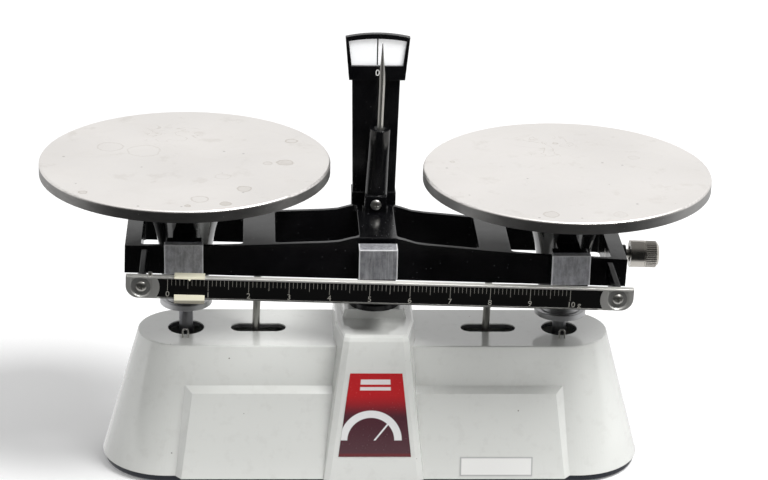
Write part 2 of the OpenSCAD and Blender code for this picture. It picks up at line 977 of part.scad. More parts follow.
module poise() {
  out0 = -scale_reach - poise_gap - poise_wall;
  in0 = -scale_reach - poise_gap;
  in1 = -scale_reach + scale_gauge + poise_gap;
  out1 = in1 + poise_wall;
  high = scale_top + poise_gap;
  low = scale_top - scale_height - poise_gap;
  base = low - poise_base;
  color(cream)
    on_beam() {
      along_x(poise_x, poise_len)
        polygon([[out0, high + poise_top], [out1, high + poise_top], [out1, base],
          [out0 + poise_slant, base], [out0, low], [out0, low + poise_foot_lip],
          [in0, low + poise_foot_lip], [in0, low], [in1, low], [in1, high], [in0, high],
          [in0, high - poise_lip], [out0, high - poise_lip]]);
      along_y(out0, in0)
        translate([poise_x, high - poise_lip])
          polygon([[-1, 0.1], [0, -1.1], [1, 0.1]]);
    }
}

// Stop rod with its head under the ledge
module stop_rod(side) {
  color(steel)
    on_beam()
      translate([side * inner_bar_x, 0, 0]) {
        translate([0, 0, stop_top - flange_h])
          cylinder(d = stop_rod_dia, h = rod_top + flange_h - stop_top);
        translate([0, 0, stop_top - flange_h])
          cylinder(r = flange_r, h = flange_h);
        translate([0, 0, stop_top - flange_h - lock_h])
          cylinder(r = lock_r, h = lock_h, $fn = 6);
      }
}

module zero_stud() {
  color(steel)
    on_beam()
      translate([beam_half - end_bar, 0, 0])
        rotate([0, 90, 0])
          cylinder(r = zero_r, h = stud_end - beam_half + end_bar);
}

// Ballast pressed into the left end of the beam, to weigh against the zero knob
module balance_slug(side_y) {
  color(dark_steel)
    on_beam()
      translate([-beam_half, side_y * slug_y, slug_z])
        rotate([0, 90, 0])
          cylinder(r = slug_r, h = slug_len);
}

insert_len = 9.6;

module knob_insert() {
  color(white)
    on_beam()
      translate([knob_in + 1.2, 0, 0])
        rotate([0, 90, 0])
          difference() {
            cylinder(r = knob_bore - run_gap, h = insert_len);
            translate([0, 0, -1])
              cylinder(r = zero_r + run_gap, h = insert_len + 2);
          }
}

// Knob: plain collar, then the fluted grip with its rounded end
module zero_knob() {
  flutes = 36;
  r = knob_dia / 2;
  color(dark_steel)
    on_beam()
      translate([knob_in, 0, 0])
        rotate([0, 90, 0])
          difference() {
            union() {
              cylinder(r = r, h = knob_split - 0.3);
              cylinder(r = r - 0.4, h = knob_split + 1);
              translate([0, 0, knob_split])
                cylinder(r = r - 0.1, h = knob_len - knob_split - 1.4);
              translate([0, 0, knob_len - 1.4])
                cylinder(r1 = r - 0.1, r2 = r - 1.6, h = 1.4);
            }
            translate([0, 0, -1])
              cylinder(r = knob_bore, h = insert_len + 3.4);
            for (i = [0 : flutes - 1])
              rotate([0, 0, i * 360 / flutes])
                translate([r + 0.12, 0, knob_split + 0.5])
                  cylinder(r = 0.45, h = knob_len);
          }
}

// Hanger casting: trumpet for the plate, neck through the beam, bearing blocks
module hanger(side) {
  r = trumpet_dia / 2;
  seat = plate_seat;
  color(black)
    at_hanger(side)
      difference() {
        union() {
          rotate_extrude()
            difference() {
              square_at(0, neck_low, r, seat - neck_low);
              translate([neck_r + flare_r, flare_z])
                circle(flare_r);
              square_at(neck_r, neck_low - 1, r, flare_z - neck_low + 1);
              polygon([[neck_foot_r, neck_low - 1], [neck_foot_r, neck_low],
                [neck_r, neck_taper], [neck_r + 1, neck_taper], [neck_r + 1, neck_low - 1]]);
            }
          for (side_y = [-1, 1]) {
            block(side_y, block_low, false);
            translate([-rib_half, side_y > 0 ? 10 : -block_in - 1, rib_low])
              cube([2 * rib_half, block_in - 9, block_top - rib_low]);
          }
        }
        translate([0, 0, seat - cup_depth - 4])
          cylinder(r = stud_r, h = 40);
        rotate_extrude()
          difference() {
            square_at(stud_r + 3.5, 12, r - 4 - stud_r - 3.5, seat);
            translate([neck_r + flare_r, flare_z])
              circle(flare_r + 4);
          }
        translate([0, 0, seat - 0.8])
          cylinder(r = r - 6, h = 4);
        translate([0, 0, neck_low - 1])
          cylinder(r = spigot_r, h = 12);
      }
}

// Steel foot of the hanger: spigot, disc, post and fork for the stay
module post(side) {
  pivot = -stay_drop;
  low = pivot - stay_half + 0.5;
  color(dark_steel)
    at_hanger(side)
      difference() {
        union() {
          translate([0, 0, neck_low - 1])
            cylinder(r = spigot_r, h = 10);
          translate([0, 0, disc_top - 0.5])
            cylinder(r1 = hub_r, r2 = hub_top_r, h = neck_low - disc_top + 0.5);
          translate([0, 0, disc_top - disc_h])
            cylinder(r = disc_r, h = disc_h);
          translate([0, 0, low])
            cylinder(r = post_r, h = disc_top - low);
        }
        translate([-10, -fork_gap / 2, low - 1])
          cube([20, fork_gap, 2 * stay_half + 3]);
        translate([0, -10, pivot])
          rotate([-90, 0, 0])
            cylinder(r = pin_r, h = 20);
        translate([0, 0, disc_top - 0.9])
          difference() {
            cylinder(r = disc_r - 1.6, h = 2);
            translate([0, 0, -1])
              cylinder(r = disc_r - 3.2, h = 4);
          }
      }
}

module hanger_pin(side) {
  color(steel)
    at_hanger(side)
      translate([0, 0, -stay_drop])
        rotate([90, 0, 0])
          cylinder(r = pin_r, h = 2 * post_r - 0.6, center = true);
}

module bearing_end(side, side_y) {
  color(agate)
    at_hanger(side)
      bearing(side_y);
}

module cover_end(side, side_y) {
  at_hanger(side)
    cover(side_y, 4.3);
}

module cover_centre() {
  translate([0, 0, pivot_z])
    cover(-1, 9.5);
}

// Weighing plate with a turned-down rim and its centring stud
module plate(side) {
  r = plate_dia / 2;
  round = 1.2;
  under = plate_seat + plate_gap;
  top = under + plate_gauge;
  color(steel)
    at_hanger(side)
      rotate_extrude() {
        difference() {
          union() {
            square_at(0, under, r - round, plate_gauge);
            square_at(r - round - 0.01, top - rim_height, round + 0.01, rim_height - round);
            translate([r - round, top - round])
              circle(round);
            translate([r - 1, top - rim_height + 0.9])
              circle(0.9);
          }
          translate([-5, top - rim_height - 5])
            square([5, rim_height + 20]);
        }
        square_at(0, under - cup_depth, stud_r - run_gap, cup_depth + 0.5);
      }
}

module square_at(x, y, w, h) {
  translate([x, y])
    square([w, h]);
}

// Lower link that keeps both hangers upright
module stay() {
  color(dark_steel)
    translate([0, 0, stay_z])
      rotate([0, rest_tilt, 0])
        difference() {
          union() {
            translate([-arm_len, -stay_thick / 2, -stay_half + 0.6])
              cube([2 * arm_len, stay_thick, 2 * stay_half - 1.2]);
            for (x = [-arm_len, 0, arm_len])
              translate([x, 0, 0])
                rotate([90, 0, 0])
                  cylinder(r = stay_half, h = stay_thick, center = true);
          }
          for (x = [-arm_len, 0, arm_len])
            translate([x, 0, 0])
              rotate([90, 0, 0])
                cylinder(r = pin_r + run_gap, h = 10, center = true);
        }
}

housing();
bottom_plate();
foot(-1, -1);  // foot_front_left
foot(1, -1);  // foot_front_right
foot(-1, 1);  // foot_rear_left
foot(1, 1);  // foot_rear_right
support();
support_nut();
centre_pin();
bearing_centre(-1);  // bearing_centre_front
bearing_centre(1);  // bearing_centre_rear
cover_centre();
index_column();
index_frame();
index_plate();
wire_loop(-1);  // loop_left
wire_loop(1);  // loop_right
name_label();
serial_label();
beam();
knife_centre();
knife_stub(-1, -1);  // knife_left_front
knife_stub(-1, 1);  // knife_left_rear
knife_stub(1, -1);  // knife_right_front
knife_stub(1, 1);  // knife_right_rear
pointer_post();
pointer_needle();
pointer_screw();
scale_bar();
scale_strip();
scale_screw(-1);  // scale_screw_left
scale_screw(1);  // scale_screw_right
poise_stop();
stop_rod(-1);  // stop_rod_left
stop_rod(1);  // stop_rod_right
zero_stud();
balance_slug(-1);  // balance_slug_front
balance_slug(1);  // balance_slug_rear
poise();
knob_insert();
zero_knob();
hanger(-1);  // hanger_left
post(-1);  // post_left
cover_end(-1, -1);  // cover_left_front
cover_end(-1, 1);  // cover_left_rear
bearing_end(-1, -1);  // bearing_left_front
bearing_end(-1, 1);  // bearing_left_rear
hanger_pin(-1);  // pin_left
plate(-1);  // plate_left
hanger(1);  // hanger_right
post(1);  // post_right
cover_end(1, -1);  // cover_right_front
cover_end(1, 1);  // cover_right_rear
bearing_end(1, -1);  // bearing_right_front
bearing_end(1, 1);  // bearing_right_rear
hanger_pin(1);  // pin_right
plate(1);  // plate_right
stay();
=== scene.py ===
import json
import math

import bpy
from mathutils import Matrix, Vector


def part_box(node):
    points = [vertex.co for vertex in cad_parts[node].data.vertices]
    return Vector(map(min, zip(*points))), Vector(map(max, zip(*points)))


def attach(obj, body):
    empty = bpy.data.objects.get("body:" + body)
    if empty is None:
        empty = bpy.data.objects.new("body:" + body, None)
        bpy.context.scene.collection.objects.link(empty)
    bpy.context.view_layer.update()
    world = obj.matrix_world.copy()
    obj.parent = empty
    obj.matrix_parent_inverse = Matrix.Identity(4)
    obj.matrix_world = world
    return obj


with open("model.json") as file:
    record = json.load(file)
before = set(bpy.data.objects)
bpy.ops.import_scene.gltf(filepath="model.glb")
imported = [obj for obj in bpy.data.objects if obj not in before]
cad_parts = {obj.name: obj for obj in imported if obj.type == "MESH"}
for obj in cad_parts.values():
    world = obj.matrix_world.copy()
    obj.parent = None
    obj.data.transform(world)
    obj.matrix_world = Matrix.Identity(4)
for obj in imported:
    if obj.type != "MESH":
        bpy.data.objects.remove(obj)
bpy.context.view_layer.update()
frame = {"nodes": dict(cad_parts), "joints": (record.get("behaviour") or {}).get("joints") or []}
mm = 0.001

beamJoint = next(j for j in frame["joints"] if j["name"] == "beam_tilt")
poiseJoint = next(j for j in frame["joints"] if j["name"] == "poise_slide")
pivot = Vector(beamJoint["pos_m"])
restTilt = math.atan2(-poiseJoint["axis"][2], poiseJoint["axis"][0])
beamPlace = Matrix.Translation(pivot) @ Matrix.Rotation(restTilt, 4, "Y")


# shader maths


class Wire:  # a node's output that takes plain arithmetic
    def __init__(self, recipe, socket):
        self.recipe = recipe
        self.socket = socket

    def maths(self, operation, first, second=0.0):
        return self.recipe.node("Math", {"operation": operation}, {0: first, 1: second})

    def __add__(self, other):
        return self.maths("ADD", self, other)

    def __radd__(self, other):
        return self.maths("ADD", other, self)

    def __sub__(self, other):
        return self.maths("SUBTRACT", self, other)

    def __rsub__(self, other):
        return self.maths("SUBTRACT", other, self)

    def __mul__(self, other):
        return self.maths("MULTIPLY", self, other)

    def __rmul__(self, other):
        return self.maths("MULTIPLY", other, self)

    def __truediv__(self, other):
        return self.maths("DIVIDE", self, other)

    def __rtruediv__(self, other):
        return self.maths("DIVIDE", other, self)

    def __pow__(self, other):
        return self.maths("POWER", self, other)

    def size(self):
        return self.maths("ABSOLUTE", self)

    def capped(self):
        return self.maths("MINIMUM", self, 1.0)

    def below(self, edge, soft):  # 1 under the edge, 0 over it
        return self.recipe.step(self, edge + soft, edge - soft)

    def above(self, edge, soft):  # 0 under the edge, 1 over it
        return self.recipe.step(self, edge - soft, edge + soft)

    def between(self, low, high, soft):
        return self.above(low, soft) * self.below(high, soft)


class Recipe:  # one material or world being mixed
    def __init__(self, tree):
        self.tree = tree
        tree.nodes.clear()

    def node(self, kind, settings=None, inputs=None, out=0):
        made = self.tree.nodes.new("ShaderNode" + kind)
        for key, value in (settings or {}).items():
            if key == "stops":
                ramp = made.color_ramp
                for stop in value[2:]:
                    ramp.elements.new(stop[0])
                for element, stop in zip(ramp.elements, value):
                    element.position = stop[0]
                    element.color = shade(stop[1])
            else:
                setattr(made, key, value)
        for key, value in (inputs or {}).items():
            if isinstance(value, Wire):
                self.tree.links.new(value.socket, made.inputs[key])
            else:
                made.inputs[key].default_value = value
        return Wire(self, made.outputs[out]) if len(made.outputs) else None

    def step(self, value, low, high):
        return self.node("MapRange", {"interpolation_type": "SMOOTHSTEP"},
                         {"Value": value, "From Min": low, "From Max": high})

    def blend(self, factor, first, second):
        pair = [v if isinstance(v, Wire) else shade(v) for v in (first, second)]
        return self.node("Mix", {"data_type": "RGBA"}, {0: factor, 6: pair[0], 7: pair[1]}, out=2)

    def place(self):
        return self.node("TexCoord", out=3)

    def shift(self, vector, offset):
        return self.node("VectorMath", {"operation": "ADD"}, {0: vector, 1: offset})

    def stretch(self, vector, scales):
        return self.node("VectorMath", {"operation": "MULTIPLY"}, {0: vector, 1: scales})

    def axes(self, vector):
        split = self.node("SeparateXYZ", inputs={0: vector})
        return [Wire(self, split.socket.node.outputs[i]) for i in range(3)]

    def noise(self, vector, scale, detail=4.0, rough=0.5, warp=0.0):
        return self.node("TexNoise", inputs={"Vector": vector, "Scale": scale, "Detail": detail,
                                             "Roughness": rough, "Distortion": warp})

    def grain(self, vector, scales, detail=4.0, rough=0.6):  # noise with its own scale on each axis
        return self.noise(self.stretch(vector, scales), 1, detail, rough)

    def specks(self, vector, scale, size, share):  # scattered round dots, in a share of the cells
        inputs = {"Vector": vector, "Scale": scale, "Randomness": 1.0}
        far = self.node("TexVoronoi", {"feature": "F1"}, inputs)
        tone = Wire(self, far.socket.node.outputs["Color"])
        pick = self.axes(tone)[0].above(1 - share, 0.01)
        return far.below(size, size * 0.3) * pick

    def grey(self, level):
        return self.node("CombineXYZ", inputs={0: level, 1: level, 2: level})

    def rays(self):  # whether the camera or a mirror looks
        outputs = self.node("LightPath").socket.node.outputs
        return Wire(self, outputs["Is Camera Ray"]), Wire(self, outputs["Is Glossy Ray"])


def shade(value):
    if isinstance(value, (int, float)):
        return (value, value, value, 1.0)
    return tuple(value) + (1.0,) * (4 - len(value))


def times(tone, share):
    return tuple(v * share for v in tone)


def away(across, up):
    return (across ** 2 + up ** 2) ** 0.5


def newMaterial(name):
    material = bpy.data.materials.new(name)
    material.use_nodes = True
    return material, Recipe(material.node_tree)


def finishMaterial(recipe, sockets, height=None, bump=None, rounding=None):  # bump is strength and depth
    normal = None
    if rounding:
        normal = recipe.node("Bevel", {"samples": 6}, {"Radius": rounding})
    if height:
        inputs = {"Height": height, "Strength": bump[0], "Distance": bump[1]}
        if normal:
            inputs["Normal"] = normal
        normal = recipe.node("Bump", inputs=inputs)
    if normal:
        sockets["Normal"] = normal
    surface = recipe.node("BsdfPrincipled", inputs=sockets)
    recipe.node("OutputMaterial", inputs={"Surface": surface})


def dress(material, *names):
    for name in names:
        item = frame["nodes"][name]
        for place in item.material_slots:
            place.material = material


# finishes: a noise is scale, detail and roughness, and specks are scale, size and share

crisp = 0.2 * mm  # half the width of a sharp edge between two tones

casting = {"tone": (0.755, 0.765, 0.735), "cloud": (22, 3), "cloudTone": 0.97,
           "roughness": 0.2, "roughCloud": 0.08, "roughSpeck": 0.3,
           "coat": {"Coat Weight": 1.0, "Coat Roughness": 0.06, "Coat IOR": 1.65},
           "peel": (900, 2, 0.4), "bump": (0.12, 0.1 * mm), "rounding": 0.5 * mm,
           "dirt": (0.5, 0.49, 0.46), "dirtPatch": (160, 5, 0.6), "dirtShare": 0.12,
           "lowDarkTop": 16 * mm, "lowDarkSoft": 10 * mm, "lowDarkShare": 0.1,
           "speck": (0.16, 0.14, 0.13), "specks": (130, 0.055, 0.12), "speckShare": 0.8,
           "pit": (0.02, 0.02, 0.02), "pits": (34, 0.02, 0.3), "pitShift": (0.3, 0.1, 0.2),
           # inside: a near-black painted shade for the surfaces inside the housing, seen through its holes
           "inside": (0.05, 0.05, 0.055), "insideShadeShare": 0.95,
           "insideShadeReach": 115 * mm, "insideShadeDeep": 11.5 * mm,
           "insideShadeFloor": 10 * mm, "insideShadeCeiling": 75.3 * mm}


def paintedCasting():
    material, r = newMaterial("paintedCasting")
    place = r.place()
    x, y, z = r.axes(place)
    cloud = r.noise(place, *casting["cloud"])
    dirt = r.noise(place, *casting["dirtPatch"]).above(0.6, 0.08) * casting["dirtShare"]
    # darker towards the bottom of the housing, mixed in the same tone as the dirt patches
    low = z.below(casting["lowDarkTop"], casting["lowDarkSoft"]) * casting["lowDarkShare"]
    dots = r.specks(place, *casting["specks"])
    pits = r.specks(r.shift(place, casting["pitShift"]), *casting["pits"])
    # painted shade: surfaces inside the housing, below the ledge and seen through its holes, are darkened
    # almost to black
    inside = z.below(casting["insideShadeCeiling"], crisp / 2) * z.above(casting["insideShadeFloor"], 1 * mm)
    inside = inside * x.size().below(casting["insideShadeReach"], crisp)
    inside = inside * y.size().below(casting["insideShadeDeep"], crisp)
    tone = r.blend(cloud, times(casting["tone"], casting["cloudTone"]), casting["tone"])
    tone = r.blend(dirt + low, tone, casting["dirt"])
    tone = r.blend(dots * casting["speckShare"], tone, casting["speck"])
    tone = r.blend(pits, tone, casting["pit"])
    tone = r.blend(inside * casting["insideShadeShare"], tone, casting["inside"])
    rough = casting["roughness"] + cloud * casting["roughCloud"] + dots * casting["roughSpeck"]
    finishMaterial(r, {"Base Color": tone, "Roughness": rough, **casting["coat"]},
                   r.noise(place, *casting["peel"]), casting["bump"], casting["rounding"])
    return material


enamel = {"tone": (0.002, 0.002, 0.0025), "peel": (700, 3, 0.5), "bump": (0.18, 0.12 * mm),
          "satin": {"roughness": 0.16, "coat": 0.0, "rounding": 0.6 * mm},
          "glossy": {"roughness": 0.096, "coat": 1.0, "rounding": 0.9 * mm}, "coatRoughness": 0.05,
          "filmTone": (0.03, 0.03, 0.034), "film": (60, 4, 0.6), "filmShare": 0.08, "roughFilm": 0.1,
          "dust": (0.12, 0.12, 0.13), "dots": (420, 0.1, 0.16), "dotShare": 0.35, "roughDot": 0.3,
          # flecks on the middle plate: its height over the pivot, half its length, and the flecks' grain
          "wornLow": 13 * mm, "wornHigh": 16 * mm, "wornReach": 13 * mm, "fleck": ((900, 250, 900), 3, 0.7),
          "fleckShare": 0.35}


def blackEnamel(name, look):
    material, r = newMaterial(name)
    place = r.place()
    x, y, z = r.axes(place)
    film = r.noise(place, *enamel["film"]).above(0.5, 0.25)
    worn = z.between(pivot.z + enamel["wornLow"], pivot.z + enamel["wornHigh"], 0.5 * mm)
    worn = worn * x.size().below(enamel["wornReach"], 1 * mm)
    fleck = r.grain(place, *enamel["fleck"]).above(0.66, 0.04)
    dots = (r.specks(place, *enamel["dots"]) + worn * fleck * enamel["fleckShare"]).capped()
    tone = r.blend(film * enamel["filmShare"], enamel["tone"], enamel["filmTone"])
    tone = r.blend(dots * enamel["dotShare"], tone, enamel["dust"])
    rough = look["roughness"] + film * enamel["roughFilm"] + dots * enamel["roughDot"]
    sockets = {"Base Color": tone, "Roughness": rough, "Coat Weight": look["coat"],
               "Coat Roughness": enamel["coatRoughness"]}
    finishMaterial(r, sockets, r.noise(place, *enamel["peel"]), enamel["bump"], look["rounding"])
    return material


pan = {"tone": (0.95, 0.92, 0.89), "shadeTone": 0.88, "shadeEdge": (0.5, 0.2), "shadeShare": 0.6,
       "fine": (1100, 3, 0.7), "fineShare": 0.4, "wide": (11, 2),
       "roughness": 0.3, "roughCloud": 0.12, "roughStain": 0.1, "roughGrain": 0.05, "roughRim": 0.06,
       "grain": ((60, 900, 60), 3, 0.5), "bump": (0.08, 0.05 * mm),
       "stain": (0.50, 0.46, 0.41), "stainShare": 0.55,
       "cloud": (38, 6, 0.62, 0.6), "cloudEdge": (0.56, 0.12), "cloudShare": 0.12,
       "blot": (55, 5, 0.65), "blotEdge": (0.62, 0.07), "blotShare": 0.35,
       "dark": (0.36, 0.34, 0.32), "dots": (95, 0.07, 0.22), "dotShare": 0.5,
       "wobble": (170, 4, 0.6), "wobbleReach": 4 * mm, "ringWidth": 0.8 * mm,
       "rimTop": -1.1 * mm, "streak": ((160, 160, 500), 5, 0.7), "streakShare": 0.3, "rimShare": 0.8,
       "rimSpeck": (0.75, 0.75, 0.74), "rimSpecks": (330, 0.12, 0.2), "rimSpeckShare": 0.6,
       "veins": (-8 * mm, 38 * mm, 17 * mm), "vein": (62, 3, 0.5, 1.0), "veinEdge": (0.008, 0.006),
       "veinShare": 0.6,
       # each mark: across, back and radius in mm, then how strong its outline and its inside are
       "left": {"turn": 0.4, "rim": (0.26, 0.255, 0.25),
                "marks": [(56, 29, 3.4, 0.8, 0.2), (31, -44, 3.9, 0.8, 0.45), (9, -59, 4.6, 0.7, 0.1),
                          (20, -26, 4.2, 0.35, 0.0), (52, -5, 4.4, 0.5, 0.5), (43, -6, 2.4, 0.4, 0.3),
                          (22, -65, 3.0, 0.9, 0.8), (3, -68, 1.6, 0.8, 0.8), (-22, 12, 9.0, 0.4, 0.0),
                          (-40, 18, 7.0, 0.45, 0.05), (-50, -50, 2.2, 0.6, 0.5)]},
       "right": {"turn": 2.6, "rim": (0.37, 0.365, 0.36),
                 "marks": [(-15, -64, 4.2, 0.5, 0.35), (-2, 42, 1.8, 0.5, 0.4), (20, -64, 4.0, 0.25, 0.15),
                           (-60, 12, 1.6, 0.4, 0.3), (38, 20, 3.0, 0.25, 0.1)]}}


def panStains(r, place, turn, marks):
    x, y, z = r.axes(place)
    wobble = (r.noise(place, *pan["wobble"]) - 0.5) * pan["wobbleReach"]
    stain = r.noise(r.shift(place, (-turn, 0, 0)), *pan["blot"]).above(*pan["blotEdge"]) * pan["blotShare"]
    for across, back, radius, outline, fill in marks:
        reach = away(x - across * mm, y - back * mm) + wobble
        ring = reach.above(radius * mm - pan["ringWidth"], 0.4 * mm)
        stain = stain + reach.below(radius * mm, 0.3 * mm) * (fill + outline * ring)
    across, back, radius = pan["veins"]
    vein = (r.noise(r.shift(place, (turn, 0, 0)), *pan["vein"]) - 0.5).size().below(*pan["veinEdge"])
    return stain + vein * away(x - across, y - back).below(radius, 5 * mm) * pan["veinShare"]


def panSteel(name, node, side):
    material, r = newMaterial(name)
    low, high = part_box(node)
    centre = (low + high) / 2
    turn = side["turn"]
    place = r.shift(r.place(), (-centre.x, -centre.y, -high.z))
    turned = r.shift(place, (turn, 0, 0))
    grain = r.grain(turned, *pan["grain"])
    cloud = r.noise(r.shift(place, (turn, turn, 0)), *pan["cloud"])
    wide = r.noise(r.shift(place, (0, turn, 0)), *pan["wide"]).above(*pan["shadeEdge"])
    fine = r.noise(place, *pan["fine"])
    stain = panStains(r, place, turn, side["marks"])
    stain = (stain + cloud.above(*pan["cloudEdge"]) * pan["cloudShare"]).capped()
    tone = r.blend(wide * pan["shadeShare"] + fine * pan["fineShare"], times(pan["tone"], pan["shadeTone"]),
                   pan["tone"])
    tone = r.blend(stain * pan["stainShare"], tone, pan["stain"])
    tone = r.blend(r.specks(place, *pan["dots"]) * pan["dotShare"], tone, pan["dark"])
    # painted shade: the rim gets a darker tone that stands for the darker reflection it shows, darker on the
    # left pan than on the right
    rim = r.axes(place)[2].below(pan["rimTop"], 0.4 * mm)
    streak = r.grain(turned, *pan["streak"])
    tone = r.blend(rim * (pan["rimShare"] + streak * pan["streakShare"]), tone, side["rim"])
    tone = r.blend(rim * r.specks(place, *pan["rimSpecks"]) * pan["rimSpeckShare"], tone, pan["rimSpeck"])
    rough = pan["roughness"] + cloud * pan["roughCloud"] + stain * pan["roughStain"]
    rough = rough + grain * pan["roughGrain"] + rim * pan["roughRim"]
    finishMaterial(r, {"Base Color": tone, "Roughness": rough, "Metallic": 1.0}, grain, pan["bump"])
    return material


steel = {"cloud": (120, 4, 0.6), "bump": (0.12, 0.05 * mm), "roughLines": 0.12, "roughCloud": 0.06,
         "darkTone": 0.85, "dots": (500, 0.1, 0.12), "dotShare": 0.4, "dotTone": 1.5, "dotLimit": 0.9,
         # tone, roughness, the grain's scale on each axis, rounding, then the nodes
         "kinds": {"turnedSteel": ((0.56, 0.55, 0.52), 0.25, (400, 400, 900), 0.4 * mm,
                                   ("stop_rod_left", "stop_rod_right", "zero_stud", "support_nut", "pin_left",
                                    "pin_right", "centre_pin", "loop_left", "loop_right", "pointer_screw")),
                   "screwSteel": ((0.66, 0.65, 0.61), 0.24, (900, 900, 60), 0.2 * mm,
                                  ("scale_screw_left", "scale_screw_right", "poise_stop")),
                   "needleSteel": ((0.5, 0.5, 0.48), 0.3, (900, 900, 80), 0.4 * mm, ("pointer_needle",)),
                   "staySteel": ((0.4, 0.4, 0.38), 0.35, (60, 900, 900), 0.4 * mm, ("stay",)),
                   "knifeSteel": ((0.5, 0.5, 0.5), 0.2, (900, 60, 900), None,
                                  ("knife_centre", "knife_left_front", "knife_left_rear", "knife_right_front",
                                   "knife_right_rear")),
                   "knobMetal": ((0.66, 0.63, 0.58), 0.14, (900, 60, 60), 0.3 * mm, ("zero_knob",)),
                   "slugLead": ((0.2, 0.2, 0.21), 0.55, (300, 300, 300), 0.4 * mm,
                                ("balance_slug_front", "balance_slug_rear"))}}


def plainSteel(name, tone, roughness, grain, rounding):
    material, r = newMaterial(name)
    place = r.place()
    lines = r.grain(place, grain)
    cloud = r.noise(place, *steel["cloud"])
    dots = r.specks(place, *steel["dots"])
    worn = r.blend(cloud, times(tone, steel["darkTone"]), tone)
    bright = tuple(min(v * steel["dotTone"], steel["dotLimit"]) for v in tone)
    worn = r.blend(dots * steel["dotShare"], worn, bright)
    rough = roughness + lines * steel["roughLines"] + cloud * steel["roughCloud"]
    sockets = {"Base Color": worn, "Roughness": rough, "Metallic": 1.0}
    finishMaterial(r, sockets, lines, steel["bump"], rounding)
    return material


coverSheet = {"tone": (0.56, 0.565, 0.60),
              "cloud": ((330, 330, 170), 5, 0.7), "darkTone": 0.62, "paleTone": 1.12,
              # edge is the pale tone of the brushed lines and of the painted highlight on the edges
              "lines": (900, 900, 70), "lineShare": 0.25, "edge": (0.9, 0.9, 0.91), "edgeHighlightWidth": 0.55 * mm,
              "edgeHighlightShare": 0.7, "dot": (0.8, 0.8, 0.8), "dots": (420, 0.12, 0.14), "dotShare": 0.5,
              "roughness": 0.46, "metal": 0.72, "edgeHighlightMetal": 0.45, "rounding": 0.5 * mm,
              # how bright each cover is
              "levels": {"cover_left_front": 1.12, "cover_left_rear": 1.12, "cover_right_front": 1.12,
                         "cover_right_rear": 1.12, "cover_centre": 0.7}}


def coverSteel(name, node, level):
    material, r = newMaterial(name)
    low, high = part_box(node)
    place = r.place()
    x, y, z = r.axes(place)
    lines = r.grain(place, coverSheet["lines"])
    cloud = r.grain(place, *coverSheet["cloud"])
    # painted highlight: the side edges and the top front edge are made pale and less metallic
    wide = coverSheet["edgeHighlightWidth"]
    edge = (x - (low.x + high.x) / 2).size().above((high.x - low.x) / 2 - wide, crisp)
    top = z.above(high.z - wide, crisp) * y.below(low.y + 2 * wide, crisp)
    tone = times(coverSheet["tone"], level)
    dark, pale = times(tone, coverSheet["darkTone"]), times(tone, coverSheet["paleTone"])
    worn = r.blend(cloud.above(0.5, 0.2), dark, pale)
    worn = r.blend(lines.above(0.55, 0.1) * coverSheet["lineShare"], worn, coverSheet["edge"])
    worn = r.blend((edge + top).capped() * coverSheet["edgeHighlightShare"], worn, coverSheet["edge"])
    worn = r.blend(r.specks(place, *coverSheet["dots"]) * coverSheet["dotShare"], worn, coverSheet["dot"])
    rough = coverSheet["roughness"] + lines * steel["roughLines"] + cloud * steel["roughCloud"]
    metal = coverSheet["metal"] - edge * coverSheet["edgeHighlightMetal"]
    finishMaterial(r, {"Base Color": worn, "Roughness": rough, "Metallic": metal}, lines, steel["bump"],
                   coverSheet["rounding"])
    return material


footSteel = {"post": (0.3, 0.3, 0.32), "disc": (0.62, 0.62, 0.63), "discLow": 16.4 * mm,
             "stain": (0.2, 0.2, 0.2), "stainShare": 0.3, "lines": (400, 400, 900),
             "roughness": 0.26, "roughDisc": 0.1, "rounding": 0.4 * mm}


def hangerFoot(name, node):
    material, r = newMaterial(name)
    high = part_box(node)[1]
    place = r.place()
    turned = r.grain(place, footSteel["lines"])
    cloud = r.noise(place, *steel["cloud"])
    disc = r.axes(place)[2].above(high.z - footSteel["discLow"], crisp)
    tone = r.blend(disc, footSteel["post"], footSteel["disc"])
    tone = r.blend(cloud * footSteel["stainShare"], tone, footSteel["stain"])
    rough = footSteel["roughness"] + turned * steel["roughLines"] + disc * footSteel["roughDisc"]
    finishMaterial(r, {"Base Color": tone, "Roughness": rough, "Metallic": 1.0}, turned, steel["bump"],
                   footSteel["rounding"])
    return material


barSheet = {"face": (0.4, 0.395, 0.37), "top": (0.93, 0.92, 0.87), "end": (0.6, 0.595, 0.57),
            "cupShade": (0.3, 0.3, 0.29), "foot": (0.16, 0.16, 0.15),
            "stain": (0.3, 0.29, 0.27), "stainShare": 0.25,
            "topHighlightLow": 5.0 * mm, "footHigh": -5.2 * mm, "endFrom": 112 * mm, "screwX": 121.9 * mm,
            "cupShadeRadius": 5.0 * mm, "lines": (60, 900, 900), "roughness": 0.4, "metal": 0.75,
            "rounding": 0.8 * mm}


def barSteel():
    material, r = newMaterial("barSteel")
    place = r.place()
    x, y, z = r.axes(place)
    level = (z - pivot.z) * math.cos(restTilt) + x * math.sin(restTilt)  # height over the bar's middle line
    lines = r.grain(place, barSheet["lines"])
    cloud = r.noise(place, *steel["cloud"])
    tone = r.blend(x.size().above(barSheet["endFrom"], 1 * mm), barSheet["face"], barSheet["end"])
    # painted shade: the recess round each screw is darkened
    cupShade = away(x.size() - barSheet["screwX"], level).below(barSheet["cupShadeRadius"], crisp)
    tone = r.blend(cupShade, tone, barSheet["cupShade"])
    # painted shade: the bar's lower edge between the end caps is darkened
    foot = level.below(barSheet["footHigh"], crisp) * x.size().below(barSheet["endFrom"], 1 * mm)
    tone = r.blend(foot, tone, barSheet["foot"])
    # painted highlight: the bar's top face is made nearly white
    tone = r.blend(level.above(barSheet["topHighlightLow"], crisp), tone, barSheet["top"])
    tone = r.blend(cloud * barSheet["stainShare"], tone, barSheet["stain"])
    rough = barSheet["roughness"] + lines * steel["roughLines"]
    finishMaterial(r, {"Base Color": tone, "Roughness": rough, "Metallic": barSheet["metal"]}, lines,
                   steel["bump"], barSheet["rounding"])
    return material


